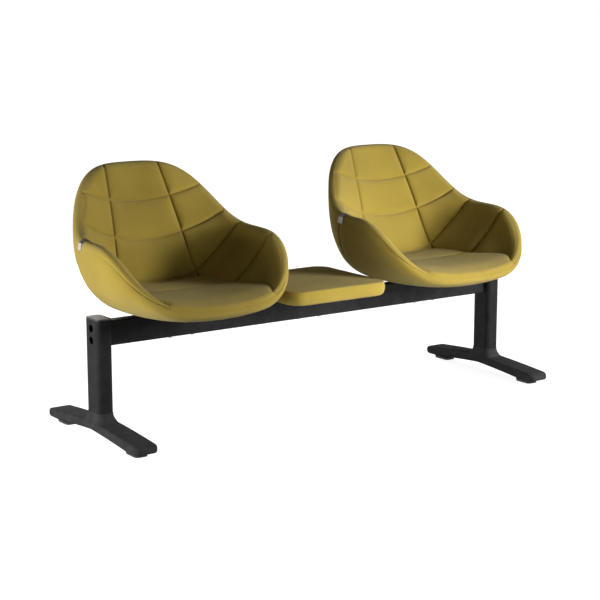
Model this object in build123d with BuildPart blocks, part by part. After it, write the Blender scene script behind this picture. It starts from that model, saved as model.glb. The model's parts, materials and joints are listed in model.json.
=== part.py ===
"""Two-seat beam unit for a waiting room: padded tub seats and a padded table on one steel beam.

Millimetres. X runs along the beam, the seats face -Y, Z is up and the floor is z = 0.
The origin is on the floor, under the middle of the unit's outer box.
"""
import os
from math import atan2, cos, degrees, exp, hypot, radians, sin, sqrt, tan

from build123d import *

os.makedirs("parts", exist_ok=True)

# Layout
seat_pitch = 1013.0
pedestal_pitch = 1612.0
beam_y = -28.0
fit_gap = 0.3
foam_gap = 1.5

# Beam tube
beam_top = 378.0
beam_height = 80.0
beam_depth = 40.0
beam_wall = 2.5
beam_corner = 4.0
end_plate = 10.0

# Pedestals and their caps
pedestal_width = 54.0
pedestal_depth = 86.0
pedestal_wall = 4.0
pedestal_corner = 16.0
pedestal_rise = 8.0
pedestal_floor = 10.0
cap_height = 4.0
cap_edge = 1.5
cap_plug = 12.0
cap_plug_wall = 3.0
access_hole = 25.0
beam_bolt_spacing = 38.0

# Cast feet
foot_length = 604.0
foot_width = 60.0
foot_crown = 73.0
foot_toe_top = 53.5
foot_arch = 35.0
foot_toe_bottom = 14.0
foot_edge = 8.0
arch_half = 200.0
toe_end = 262.0
nose_width = 42.0
nose_height = 15.0
collar_top = 88.0
collar_flare = 36.0
collar_lip = 2.0
foot_bolt_spacing = 40.0
foot_head_seat = 50.0

# Levelling glides
glide_y = 228.0
glide_length = 76.0
glide_width = 48.0
glide_height = 9.0
glide_corner = 14.0
glide_draft = 3.0
glide_travel = 8.0
glide_play = 0.08
stud_radius = 4.0
stud_top = 44.0
stud_disc_radius = 9.0
stud_disc_height = 3.0
stud_disc_floor = 3.5
stud_collar = 4.4
stud_collar_flats = 13.0
stud_bore_spare = 2.0

# Screws: radius, head radius, head height
m10 = (5.0, 8.0, 10.0)
m8 = (4.0, 7.0, 5.3)
m6 = (3.0, 5.3, 3.8)
wood_screw = (2.0, 4.0, 2.2)
nut_height = 6.5
hole_gap = 0.5
thread_gap = 0.05
hex_key_share = 0.45
thread_tail = 1.5

# Saddles and plates that carry the seats and the table
saddle_thickness = 3.0
saddle_leg = 14.0
saddle_length = 170.0
plate_thickness = 4.0
plate_length = 230.0
plate_depth = 210.0
plate_corner = 24.0
through_bolt_spacing = 84.0
seat_bolt_x = 92.0
seat_bolt_y = 82.0

# Tub rim, seen from above and from the front; angles run from the back (0) to the front (180)
rim_half_width = 308.0
rim_back = 340.0
rim_front = 268.0
rim_square_back = 2.1
rim_square_front = 3.3
back_height = 830.0
arm_height = 623.0
lip_height = 430.0
shoulder_spread = 52.5
shoulder_power = 3.6
front_spread = 59.0
front_power = 4.25
lean_spread = 42.0
rim_roll = 18.0
lip_roll = 13.0

# Tub outside
base_half_width = 150.0
base_back = 150.0
base_front = 225.0
base_square = 2.3
base_hole = 62.0
back_lean = 18.0
arm_lean = -8.0
lip_lean = 6.0
bottom_rise = 1.0
lip_bias = 4.0
shell_thickness = 8.0

# Tub inside
crease_height = 464.0
crease_side = 182.0
crease_splay = 0.08
crease_back = 152.0
crease_square = 6.0
inner_lean_back = 24.0
inner_lean_arm = 28.0
foot_lean_back = 30.0
foot_lean_arm = 42.0

# Sewn channels in the lining, as seen from the front or from the side
channel_width = 4.0
channel_depth = 5.0
channel_clear = 6.0
tall_channel_top = (98.0, 852.0)
tall_channel_foot = (139.0, 500.0)
upper_channel_mid = 706.0
upper_channel_end = (221.0, 752.0)
lower_channel_mid = 583.0
lower_channel_end = (271.0, 670.0)
corner_channel_top = (86.0, 660.0)
corner_channel_foot = (137.5, 475.0)
arm_channel_top = (-84.0, 650.0)
arm_channel_foot = (-48.0, 430.0)

# Base board and seat cushion
board_thickness = 12.0
board_inset = 6.0
tee_barrel_radius = 4.4
tee_flange_radius = 10.0
tee_flange = 1.5
cushion_tuck = 12.0
cushion_top = 458.0
cushion_crown = 14.0
cushion_crown_inset = 60.0
cushion_back_corner = 112.0
cushion_front_corner = 80.0
cushion_front_bow = 14.0
cushion_overhang = 18.0
cushion_seam_rise = 1.6
cushion_gap = 3.0

# Padded table
table_size = 395.0
table_height = 50.0
table_corner = 50.0
table_skirt = 4.0
table_edge = 7.0
table_tuck = 4.0
table_board_inset = 12.0
table_plate_length = 190.0
table_plate_depth = 150.0
table_screw_x = 78.0
table_screw_y = 58.0
table_screw_bite = 9.0

# Levels that follow from the sizes above
beam_bottom = beam_top - beam_height
plate_bottom = beam_top + saddle_thickness
plate_top = plate_bottom + plate_thickness
floor_top = plate_top + shell_thickness
board_bottom = floor_top + fit_gap
board_top = board_bottom + board_thickness
cushion_bottom = board_top + fit_gap
pedestal_top = beam_top + pedestal_rise
pedestal_x = pedestal_pitch / 2
beam_end = pedestal_x - pedestal_width / 2 - end_plate
sides = (("left", -1), ("right", 1))


def save(node, solid, x=0.0):
    """Write a finished piece, moved along the beam, under its node's name."""
    piece = solid.moved(Location((x, 0, 0)))
    piece.label = node
    export_step(piece, f"parts/{node}.step")


def level(z, x=0.0, y=0.0):
    """A plane at height z whose centre stands over the beam's middle line."""
    return Plane((x, beam_y + y, z))


def socket_screw(size, length):
    """A screw along +Z whose head rests on z = 0, with a hex key socket."""
    radius, head_radius, head_height = size
    with BuildPart() as screw:
        with BuildSketch(Plane.XY.offset(-head_height)):
            Circle(head_radius)
        extrude(amount=head_height)
        with BuildSketch(Plane.XY.offset(-head_height)):
            RegularPolygon(head_radius * hex_key_share, 6)
        extrude(amount=head_height / 2, mode=Mode.SUBTRACT)
        with BuildSketch(Plane.XY):
            Circle(radius)
        extrude(amount=length)
    return screw.part


def hex_bolt(size, length):
    """A hex-headed bolt along +Z whose head rests on z = 0."""
    radius, head_radius, head_height = size
    with BuildPart() as bolt:
        with BuildSketch(Plane.XY.offset(-head_height)):
            RegularPolygon(head_radius, 6)
        extrude(amount=head_height)
        with BuildSketch(Plane.XY):
            Circle(radius)
        extrude(amount=length)
    return bolt.part


# Frame: beam
with BuildPart() as beam_tube:
    with BuildSketch(Plane.YZ.offset(-beam_end)):
        with Locations((beam_y, beam_top - beam_height / 2)):
            RectangleRounded(beam_depth, beam_height, beam_corner)
            RectangleRounded(
                beam_depth - 2 * beam_wall,
                beam_height - 2 * beam_wall,
                beam_corner - beam_wall,
                mode=Mode.SUBTRACT,
            )
    extrude(amount=2 * beam_end)
    for centre in (-seat_pitch / 2, 0, seat_pitch / 2):
        with BuildSketch(level(beam_bottom, centre)):
            with GridLocations(through_bolt_spacing, 0, 2, 1):
                Circle(m8[0] + hole_gap)
        extrude(amount=beam_height, mode=Mode.SUBTRACT)
save("beam_tube", beam_tube.part)

beam_bolt_head = socket_screw(m10, pedestal_wall + end_plate + thread_tail)
foot_bolt = socket_screw(m10, collar_top + pedestal_floor - foot_head_seat - thread_tail)

for side, hand in sides:
    inner_x = hand * (pedestal_x - pedestal_width / 2)
    outer_x = hand * (pedestal_x + pedestal_width / 2)
    inward = Plane((inner_x, beam_y, beam_top - beam_height / 2), x_dir=(0, 1, 0), z_dir=(-hand, 0, 0))

    with BuildPart() as end_plate_part:
        with BuildSketch(inward):
            RectangleRounded(beam_depth, beam_height, beam_corner)
            with GridLocations(0, beam_bolt_spacing, 1, 2):
                Circle(m10[0] + thread_gap, mode=Mode.SUBTRACT)
        extrude(amount=end_plate)
    save(f"{side}_end_plate", end_plate_part.part)

    # The column is a tube with a thick floor; the outer wall lets the bolts in to the inner wall
    with BuildPart() as pedestal:
        with BuildSketch(level(collar_top, hand * pedestal_x)):
            RectangleRounded(pedestal_width, pedestal_depth, pedestal_corner)
        extrude(amount=pedestal_top - collar_top)
        with BuildSketch(level(collar_top + pedestal_floor, hand * pedestal_x)):
            RectangleRounded(
                pedestal_width - 2 * pedestal_wall,
                pedestal_depth - 2 * pedestal_wall,
                pedestal_corner - pedestal_wall,
            )
        extrude(amount=pedestal_top - collar_top, mode=Mode.SUBTRACT)
        with BuildSketch(inward):
            with GridLocations(0, beam_bolt_spacing, 1, 2):
                Circle(m10[0] + hole_gap)
        extrude(amount=-pedestal_width / 2, mode=Mode.SUBTRACT)
        with BuildSketch(inward.offset(-pedestal_width)):
            with GridLocations(0, beam_bolt_spacing, 1, 2):
                Circle(access_hole / 2)
        extrude(amount=pedestal_width / 2, mode=Mode.SUBTRACT)
        with BuildSketch(level(collar_top, hand * pedestal_x)):
            with GridLocations(0, foot_bolt_spacing, 1, 2):
                Circle(m10[0] + thread_gap)
        extrude(amount=pedestal_floor, mode=Mode.SUBTRACT)
    save(f"{side}_pedestal", pedestal.part)

    with BuildPart() as cap:
        with BuildSketch(level(pedestal_top, hand * pedestal_x)):
            RectangleRounded(pedestal_width, pedestal_depth, pedestal_corner)
        extrude(amount=cap_height)
        fillet(cap.faces().sort_by(Axis.Z)[-1].edges(), cap_edge)
        plug_width = pedestal_width - 2 * (pedestal_wall + fit_gap)
        plug_depth = pedestal_depth - 2 * (pedestal_wall + fit_gap)
        plug_corner = pedestal_corner - pedestal_wall - fit_gap
        with BuildSketch(level(pedestal_top, hand * pedestal_x)):
            RectangleRounded(plug_width, plug_depth, plug_corner)
            RectangleRounded(
                plug_width - 2 * cap_plug_wall,
                plug_depth - 2 * cap_plug_wall,
                plug_corner - cap_plug_wall,
                mode=Mode.SUBTRACT,
            )
        extrude(amount=-cap_plug)
    save(f"{side}_pedestal_cap", cap.part)

    # Bolts go from inside the column, through its inner wall, into the beam's end plate
    with BuildPart() as beam_bolts:
        seat = inward.offset(-pedestal_wall)
        for place in (-beam_bolt_spacing / 2, beam_bolt_spacing / 2):
            add(seat.location * Location((0, place, 0)) * beam_bolt_head)
    save(f"{side}_beam_bolts", beam_bolts.part)


# Frame: cast feet, lofted through rounded sections along the arch
def foot_section(y):
    """Top, bottom and width of the foot at a distance from the column's middle."""
    reach = abs(y)
    top = foot_crown - (foot_crown - foot_toe_top) * (reach / toe_end) ** 2
    sag = min(reach / arch_half, 1)
    bottom = foot_arch - (foot_arch - foot_toe_bottom) * sag * sag * (3 - 2 * sag)
    return top, bottom


def foot_slice(y, top, bottom, width, edge):
    """One rounded section of the foot, square to its length."""
    plane = Plane((0, beam_y + y, (top + bottom) / 2), x_dir=(1, 0, 0), z_dir=(0, -1, 0))
    with BuildSketch(plane) as cut:
        RectangleRounded(width, top - bottom, edge)
    return cut.sketch


nose_y = foot_length / 2
nose_middle = (foot_toe_top + foot_toe_bottom) / 2
nose_edge = nose_height / 2 - 1
nose_drop = (foot_toe_top - foot_toe_bottom - nose_height) / 2
foot_slices = []
for way in (-1, 1):
    ends = []
    for stop in (arch_half * 0.35, arch_half * 0.7, arch_half, (arch_half + toe_end) / 2, toe_end):
        ends.append(foot_slice(way * stop, *foot_section(stop), foot_width, foot_edge))
    ends.append(
        foot_slice(
            way * (nose_y - (nose_y - toe_end) / 3),
            foot_toe_top - nose_drop / 3,
            foot_toe_bottom + nose_drop / 3,
            foot_width - (foot_width - nose_width) / 3,
            foot_edge,
        )
    )
    nose = (nose_middle + nose_height / 2, nose_middle - nose_height / 2)
    ends.append(foot_slice(way * nose_y, *nose, nose_width, nose_edge))
    foot_slices += ends[::way]
    if way < 0:
        foot_slices.append(foot_slice(0, foot_crown, foot_arch, foot_width, foot_edge))
collar_width = pedestal_width + 2 * collar_lip
collar_depth = pedestal_depth + 2 * collar_lip

with BuildPart() as foot:
    loft(sections=foot_slices)
    # Collar under the column, flaring out along the foot
    collar_base = foot_section(pedestal_depth / 2 + collar_flare)[0] - foot_edge
    for share, flare in ((0, 1), (0.55, 0.3), (1, 0)):
        with BuildSketch(level(collar_base + (collar_top - collar_base) * share)):
            RectangleRounded(
                collar_width + collar_lip * flare / 2,
                collar_depth + collar_flare * flare,
                pedestal_corner + collar_lip,
            )
    loft()
    with BuildSketch(level(0)):
        with GridLocations(0, foot_bolt_spacing, 1, 2):
            Circle(m10[0] + hole_gap)
    extrude(amount=collar_top, mode=Mode.SUBTRACT)
    with BuildSketch(level(0)):
        with GridLocations(0, foot_bolt_spacing, 1, 2):
            Circle(m10[1] + hole_gap)
    extrude(amount=foot_head_seat, mode=Mode.SUBTRACT)
    with BuildSketch(level(0)):
        with GridLocations(0, 2 * glide_y, 1, 2):
            Circle(stud_radius + glide_play)
    extrude(amount=stud_top + stud_bore_spare, mode=Mode.SUBTRACT)

with BuildPart() as foot_bolts:
    for place in (-foot_bolt_spacing / 2, foot_bolt_spacing / 2):
        add(Location((0, beam_y + place, foot_head_seat)) * foot_bolt)

# A glide is a moulded sole that swivels on a stud; the stud's collar takes a thin spanner
with BuildPart() as glide_pad:
    with BuildSketch(level(0)):
        RectangleRounded(glide_width - glide_draft, glide_length - glide_draft, glide_corner)
    with BuildSketch(level(glide_height)):
        RectangleRounded(glide_width, glide_length, glide_corner)
    loft()
    with BuildSketch(level(stud_disc_floor)):
        Circle(stud_disc_radius + glide_play)
    extrude(amount=stud_disc_height + 2 * glide_play, mode=Mode.SUBTRACT)
    with BuildSketch(level(stud_disc_floor)):
        Circle(stud_radius + glide_play)
    extrude(amount=glide_height, mode=Mode.SUBTRACT)

with BuildPart() as glide_stud:
    with BuildSketch(level(stud_disc_floor + glide_play)):
        Circle(stud_disc_radius)
    extrude(amount=stud_disc_height)
    with BuildSketch(level(glide_height + glide_play)):
        RegularPolygon(stud_collar_flats / 2, 6, major_radius=False)
    extrude(amount=stud_collar)
    with BuildSketch(level(stud_disc_floor + glide_play)):
        Circle(stud_radius)
    extrude(amount=stud_top - stud_disc_floor - glide_play)

for side, hand in sides:
    save(f"{side}_foot", foot.part, hand * pedestal_x)
    save(f"{side}_foot_bolts", foot_bolts.part, hand * pedestal_x)
    for end, way in (("front", -1), ("rear", 1)):
        shift = Location((0, way * glide_y, 0))
        save(f"{side}_{end}_glide_pad", glide_pad.part.moved(shift), hand * pedestal_x)
        save(f"{side}_{end}_glide_stud", glide_stud.part.moved(shift), hand * pedestal_x)


# Carriers: a folded saddle locates on the beam and long bolts pull a flat plate down on it
def carrier(length, depth, fixings_x, fixings_y, fixing_radius):
    """Saddle, plate, long bolts and nuts for a seat or a table standing over x = 0."""
    inside = beam_depth + 2 * fit_gap
    hung = (Align.CENTER, Align.MAX)
    with BuildPart() as saddle:
        with BuildSketch(Plane.YZ.offset(-saddle_length / 2)):
            with Locations((beam_y, plate_bottom)):
                Rectangle(inside + 2 * saddle_thickness, saddle_thickness + saddle_leg, align=hung)
            with Locations((beam_y, beam_top)):
                Rectangle(inside, saddle_leg, align=hung, mode=Mode.SUBTRACT)
        extrude(amount=saddle_length)
        with BuildSketch(level(beam_top)):
            with GridLocations(through_bolt_spacing, 0, 2, 1):
                Circle(m8[0] + hole_gap)
        extrude(amount=saddle_thickness, mode=Mode.SUBTRACT)
        fillet(saddle.edges().filter_by(Axis.X).group_by(Axis.Z)[-1], saddle_thickness / 2)

    with BuildPart() as plate:
        with BuildSketch(level(plate_bottom)):
            RectangleRounded(length, depth, plate_corner)
            with GridLocations(through_bolt_spacing, 0, 2, 1):
                Circle(m8[0] + hole_gap, mode=Mode.SUBTRACT)
            with GridLocations(2 * fixings_x, 2 * fixings_y, 2, 2):
                Circle(fixing_radius + hole_gap, mode=Mode.SUBTRACT)
        extrude(amount=plate_thickness)

    bolt = hex_bolt(m8, plate_top + nut_height + thread_tail / 2 - beam_bottom)
    with BuildPart() as bolts:
        for place in (-through_bolt_spacing / 2, through_bolt_spacing / 2):
            add(Location((place, beam_y, beam_bottom)) * bolt)

    with BuildPart() as nuts:
        with BuildSketch(level(plate_top)):
            with GridLocations(through_bolt_spacing, 0, 2, 1):
                RegularPolygon(m8[1], 6)
                Circle(m8[0] + thread_gap, mode=Mode.SUBTRACT)
        extrude(amount=nut_height)
    return saddle.part, plate.part, bolts.part, nuts.part


# Tub: smooth rules for the rim and the walls, by the angle from the back
def swell(angle, spread, power):
    """One at angle nought, falling smoothly to nought past the spread."""
    return exp(-((abs(angle) / spread) ** power))


def front_share(angle):
    """One at the front lip and nought at the arms and the back."""
    return swell(180 - abs(angle), front_spread, front_power)


def oval(angle, half_width, back, front, square_back, square_front):
    """Radius of a squared oval with its own reach and squareness behind and in front."""
    across, along = abs(sin(radians(angle))), cos(radians(angle))
    reach, square = (back, square_back) if along > 0 else (front, square_front)
    return ((across / half_width) ** square + (abs(along) / reach) ** square) ** (-1 / square)


def rim(angle):
    """Radius of the roll's middle, its height and the roll's own radius."""
    shoulder = swell(angle, shoulder_spread, shoulder_power)
    arm = 1 - front_share(angle)
    roll = lip_roll + (rim_roll - lip_roll) * arm
    radius = oval(angle, rim_half_width, rim_back, rim_front, rim_square_back, rim_square_front)
    crest = lip_height + (arm_height - lip_height) * arm + (back_height - arm_height) * shoulder
    return radius, crest - roll, roll


def crease(angle):
    """Radius of the crease between the seat and the walls: back, splayed sides and the front lip."""
    across, along = abs(sin(radians(angle))), cos(radians(angle))
    radius, _, roll = rim(angle)
    side = max(across + crease_splay * along, 0) / crease_side
    back = max(along, 0) / crease_back
    front = 1 / (radius - roll)
    return (side**crease_square + back**crease_square + front**crease_square) ** (-1 / crease_square)


def along_heading(point, heading, distance):
    """The point at a distance along a heading in degrees."""
    turn = radians(heading)
    return point[0] + distance * cos(turn), point[1] + distance * sin(turn)


def arc_stops(start, heading, end):
    """Start, middle and end of the arc that leaves start on a heading, each with its heading."""
    run, rise = end[0] - start[0], end[1] - start[1]
    chord = degrees(atan2(rise, run))
    bend = (chord - heading + 180) % 360 - 180
    bow_height = hypot(run, rise) / 2 * tan(radians(bend) / 2)
    middle = ((start[0] + end[0]) / 2, (start[1] + end[1]) / 2)
    return [
        (start, heading),
        (along_heading(middle, heading + bend - 90, bow_height), heading + bend),
        (end, heading + 2 * bend),
    ]


def bow(start, heading, end, end_heading, bias=1.0):
    """Five stops along two tangent arcs; bias lengthens the first arc."""
    vx = bias * cos(radians(heading)) + cos(radians(end_heading))
    vz = bias * sin(radians(heading)) + sin(radians(end_heading))
    run, rise = end[0] - start[0], end[1] - start[1]
    square = vx * vx + vz * vz - (1 + bias) ** 2
    half = run * vx + rise * vz
    reach = (half - sqrt(half * half - square * (run * run + rise * rise))) / square
    first = along_heading(start, heading, bias * reach)
    second = along_heading(end, end_heading, -reach)
    share = bias / (1 + bias)
    joint = tuple(a + (b - a) * share for a, b in zip(first, second))
    opening = arc_stops(start, heading, joint)
    closing = arc_stops(joint, opening[2][1], end)
    return opening + closing[1:]


def inset(stops, distance):
    """The stops moved into the wall, to the left of the way that the curve runs."""
    return [along_heading(point, heading + 90, distance) for point, heading in stops]


def outer_bow(angle):
    """Outside of the tub from the flat floor to the start of the rim's roll."""
    radius, middle, roll = rim(angle)
    front = front_share(angle)
    back = swell(angle, lean_spread, 2)
    lean = arm_lean + (back_lean - arm_lean) * back + (lip_lean - arm_lean) * front
    start = (oval(angle, base_half_width, base_back, base_front, base_square, base_square), plate_top)
    end = along_heading((radius, middle), -lean, roll)
    return bow(start, bottom_rise * front, end, 90 - lean, 1 + (lip_bias - 1) * front)


def inner_bow(angle):
    """Inside of the tub from the rim's roll down to the lining's foot."""
    radius, middle, roll = rim(angle)
    back = swell(angle, lean_spread, 2)
    top_lean = inner_lean_arm + (inner_lean_back - inner_lean_arm) * back
    foot_lean = foot_lean_arm + (foot_lean_back - foot_lean_arm) * back
    start = along_heading((radius, middle), 180 - top_lean, roll)
    depth = min(start[1], crease_height) - cushion_bottom
    end = (crease(angle) - depth * tan(radians(foot_lean)), cushion_bottom)
    return bow(start, 270 - top_lean, end, 270 - foot_lean)


def circle_of(points):
    """Centre and radius of the circle through three points."""
    (ax, az), (bx, bz), (cx, cz) = points
    d = 2 * (ax * (bz - cz) + bx * (cz - az) + cx * (az - bz))
    a, b, c = ax * ax + az * az, bx * bx + bz * bz, cx * cx + cz * cz
    x = (a * (bz - cz) + b * (cz - az) + c * (az - bz)) / d
    z = (a * (cx - bx) + b * (ax - cx) + c * (bx - ax)) / d
    return x, z, hypot(ax - x, az - z)


def radius_at(points, height):
    """Where the arc through three points crosses a height, on the middle point's side."""
    x, z, radius = circle_of(points)
    side = 1 if points[1][0] > x else -1
    return x + side * sqrt(radius * radius - (height - z) ** 2)


def station(angle):
    """The upright plane through the tub's axis at an angle from the back."""
    across, along = sin(radians(angle)), cos(radians(angle))
    return Plane((0, beam_y, 0), x_dir=(across, along, 0), z_dir=(along, -across, 0))


def ring_section(angle, edges):
    """A closed section of lines (two points) and arcs (three points) in its station plane."""
    with BuildSketch(station(angle)) as cut:
        with BuildLine():
            for points in edges:
                if len(points) == 2:
                    Line(*points)
                else:
                    ThreePointArc(*points)
        make_face()
    return cut.sketch


def roll_point(angle, heading, shrink=0.0):
    """A point on the rim's roll."""
    radius, middle, roll = rim(angle)
    return along_heading((radius, middle), heading, roll - shrink)


def shell_section(angle):
    """Floor, wall and outer half of the rim of the moulded shell."""
    outside = outer_bow(angle)
    lean_heading = outside[4][1] - 90
    skin = [point for point, _ in outside]
    back = inset(outside, shell_thickness)
    halfway = (lean_heading + 90) / 2
    crest = roll_point(angle, 90)
    under = roll_point(angle, 90, shell_thickness)
    return ring_section(
        angle,
        [
            ((base_hole, plate_top), skin[0]),
            skin[0:3],
            skin[2:5],
            (skin[4], roll_point(angle, halfway), crest),
            (crest, under),
            (under, roll_point(angle, halfway, shell_thickness), back[4]),
            back[4:1:-1],
            (back[2], back[1], back[0]),
            (back[0], (base_hole, back[0][1])),
            ((base_hole, back[0][1]), (base_hole, plate_top)),
        ],
    )


def lining_section(angle):
    """Foam lining: inner half of the rim, the inside wall and the face against the shell."""
    outside, inside = outer_bow(angle), inner_bow(angle)
    radius, middle, roll = rim(angle)
    depth = shell_thickness + foam_gap
    back = inset(outside, depth)
    wall = [point for point, _ in inside]
    x, z, arc = circle_of(back[0:3])
    heel = (radius_at(back[0:3], cushion_bottom), cushion_bottom)
    heel_turn = degrees(atan2(heel[1] - z, heel[0] - x))
    joint_turn = degrees(atan2(back[2][1] - z, back[2][0] - x))
    heel_middle = along_heading((x, z), (heel_turn + joint_turn) / 2, arc)
    seam = radius - fit_gap
    crest = (seam, middle + sqrt(roll**2 - fit_gap**2))
    core = roll - depth
    under = (seam, middle + sqrt(core**2 - fit_gap**2))
    lean_heading = outside[4][1] - 90
    inner_heading = inside[0][1] - 90
    return ring_section(
        angle,
        [
            (crest, roll_point(angle, (90 + inner_heading) / 2), wall[0]),
            wall[0:3],
            wall[2:5],
            (wall[4], heel),
            (heel, heel_middle, back[2]),
            back[2:5],
            (back[4], roll_point(angle, (90 + lean_heading) / 2, depth), under),
            (under, crest),
        ],
    )


def channel_section(angle):
    """A layer just under the lining's inside face, in which the channels are cut."""
    inside = inner_bow(angle)
    near, far = inset(inside, -channel_clear), inset(inside, channel_depth)
    return ring_section(
        angle,
        [
            near[0:3],
            near[2:5],
            (near[4], far[4]),
            (far[4], far[3], far[2]),
            (far[2], far[1], far[0]),
            (far[0], near[0]),
        ],
    )


half_ring = range(-15, 196, 15)
back_arc = range(-15, 106, 15)
arm_arc = range(30, 151, 15)
side_view = Plane((0, beam_y, 0), x_dir=(0, 1, 0), z_dir=(1, 0, 0))
seat_bolt_places = GridLocations(2 * seat_bolt_x, 2 * seat_bolt_y, 2, 2).locations

# Shell: half a ring of sections, cut on the middle plane and mirrored
with BuildPart() as shell:
    loft(sections=[shell_section(angle) for angle in half_ring])
    split(bisect_by=Plane.YZ, keep=Keep.TOP)
    mirror(about=Plane.YZ)
    with BuildSketch(level(plate_top)):
        with GridLocations(2 * seat_bolt_x, 2 * seat_bolt_y, 2, 2):
            Circle(m6[0] + hole_gap)
    extrude(amount=shell_thickness, mode=Mode.SUBTRACT)

# Channels on the back are straight or curved strips in the front view, on the arms in the side view
with BuildPart() as back_channels:
    loft(sections=[channel_section(angle) for angle in back_arc])
    with BuildSketch(Plane.XZ.offset(-beam_y)):
        with BuildLine():
            Line(tall_channel_top, tall_channel_foot)
        trace(line_width=channel_width)
        for middle, (end_x, end_z) in (
            (upper_channel_mid, upper_channel_end),
            (lower_channel_mid, lower_channel_end),
        ):
            with BuildLine():
                ThreePointArc((-end_x, end_z), (0, middle), (end_x, end_z))
            trace(line_width=channel_width)
    extrude(amount=-rim_back - rim_roll, mode=Mode.INTERSECT)

with BuildPart() as arm_channels:
    loft(sections=[channel_section(angle) for angle in arm_arc])
    with BuildSketch(side_view):
        with BuildLine():
            Line(corner_channel_top, corner_channel_foot)
        trace(line_width=channel_width)
        with BuildLine():
            Line(arm_channel_top, arm_channel_foot)
        trace(line_width=channel_width)
    extrude(amount=rim_half_width + rim_roll, mode=Mode.INTERSECT)

with BuildPart() as lining:
    loft(sections=[lining_section(angle) for angle in half_ring])
    split(bisect_by=Plane.YZ, keep=Keep.TOP)
    add(back_channels.part, mode=Mode.SUBTRACT)
    add(arm_channels.part, mode=Mode.SUBTRACT)
    mirror(about=Plane.YZ)


# Seat: board on the shell's floor and a crowned cushion inside the lining
def closed_outline(radius_of):
    """A closed outline of short arcs round the tub's axis, by a rule for its radius."""
    step = 15
    points = []
    for place in range(2 * 360 // step):
        angle = place * step / 2
        radius = radius_of(180 - abs(180 - angle))
        points.append((radius * sin(radians(angle)), radius * cos(radians(angle))))
    points.append(points[0])
    with BuildLine() as outline:
        for first in range(0, len(points) - 1, 2):
            ThreePointArc(*points[first : first + 3])
    return outline.line


def wall_radius(angle, height):
    """Radius of the lining's inside at a height, or of its rim above that."""
    wall = [point for point, _ in inner_bow(angle)]
    if height >= wall[0][1]:
        return wall[0][0]
    return radius_at(wall[0:3] if height > wall[2][1] else wall[2:5], height)


def board_radius(angle):
    """The board's outline: the shell's flat floor less a margin."""
    return oval(angle, base_half_width, base_back, base_front, base_square, base_square) - board_inset


with BuildPart() as base_board:
    with BuildSketch(level(board_bottom)):
        with BuildLine():
            add(closed_outline(board_radius))
        make_face()
        with GridLocations(2 * seat_bolt_x, 2 * seat_bolt_y, 2, 2):
            Circle(tee_barrel_radius + thread_gap, mode=Mode.SUBTRACT)
    extrude(amount=board_thickness)
    with BuildSketch(level(board_top)):
        with GridLocations(2 * seat_bolt_x, 2 * seat_bolt_y, 2, 2):
            Circle(tee_flange_radius + fit_gap)
    extrude(amount=-tee_flange, mode=Mode.SUBTRACT)

with BuildPart() as tee_nuts:
    with BuildSketch(level(board_top)):
        with GridLocations(2 * seat_bolt_x, 2 * seat_bolt_y, 2, 2):
            Circle(tee_flange_radius)
    extrude(amount=-tee_flange)
    with BuildSketch(level(board_top)):
        with GridLocations(2 * seat_bolt_x, 2 * seat_bolt_y, 2, 2):
            Circle(tee_barrel_radius)
    extrude(amount=-board_thickness + thread_tail)
    with BuildSketch(level(board_top)):
        with GridLocations(2 * seat_bolt_x, 2 * seat_bolt_y, 2, 2):
            Circle(m6[0] + thread_gap)
    extrude(amount=-board_thickness, mode=Mode.SUBTRACT)

seat_bolt = hex_bolt(m6, board_top - thread_tail - plate_bottom)
with BuildPart() as seat_bolts:
    for place in seat_bolt_places:
        add(Location((0, beam_y, plate_bottom)) * place * seat_bolt)

# Each level of the cushion: height, inset from the walls and reach at the front
lip_inside = rim_front - 2 * lip_roll
lip_outside = rim_front + cushion_overhang
cushion_levels = [
    (cushion_bottom, cushion_tuck, lip_inside - cushion_tuck),
    (lip_height - lip_roll, cushion_gap, lip_inside - cushion_gap),
    (lip_height + cushion_seam_rise, cushion_gap, rim_front - lip_roll / 2),
]
for turn in (0, 18, 36, 54, 72, 90):
    rise, draw = sin(radians(turn)), 1 - cos(radians(turn))
    cushion_levels.append(
        (
            cushion_top - cushion_crown * (1 - rise),
            cushion_gap + cushion_crown_inset * draw,
            lip_outside - cushion_crown_inset * draw,
        )
    )


def cushion_outline(height, margin, front):
    """A rounded wedge: straight back, splayed sides and a bowed front."""
    back = wall_radius(0, height) - margin
    side = wall_radius(90, height) - margin
    back_x = side - crease_splay * back
    front_x = side + crease_splay * front
    bowed = front - cushion_front_bow
    shrink = margin / 2
    with BuildSketch(level(height)) as cut:
        with BuildLine():
            Polyline((-front_x, -bowed), (-back_x, back), (back_x, back), (front_x, -bowed))
            ThreePointArc((front_x, -bowed), (0, -front), (-front_x, -bowed))
        make_face()
        corners = cut.vertices().group_by(Axis.Y)
        fillet(corners[-1], cushion_back_corner - shrink)
        corners = [corner for corner in cut.vertices() if abs(abs(corner.X) - front_x) < fit_gap]
        fillet(corners, cushion_front_corner - shrink)
    return cut.sketch


with BuildPart() as seat_cushion:
    loft(sections=[cushion_outline(*cushion_level) for cushion_level in cushion_levels], ruled=True)

seat_saddle, seat_plate, seat_through_bolts, seat_through_nuts = carrier(
    plate_length, plate_depth, seat_bolt_x, seat_bolt_y, m6[0]
)
for side, hand in sides:
    for node, solid in (
        ("saddle", seat_saddle),
        ("seat_plate", seat_plate),
        ("through_bolts", seat_through_bolts),
        ("through_nuts", seat_through_nuts),
        ("seat_bolts", seat_bolts.part),
        ("tee_nuts", tee_nuts.part),
        ("base_board", base_board.part),
        ("shell", shell.part),
        ("lining", lining.part),
        ("seat_cushion", seat_cushion.part),
    ):
        save(f"{side}_{node}", solid, hand * seat_pitch / 2)

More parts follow.
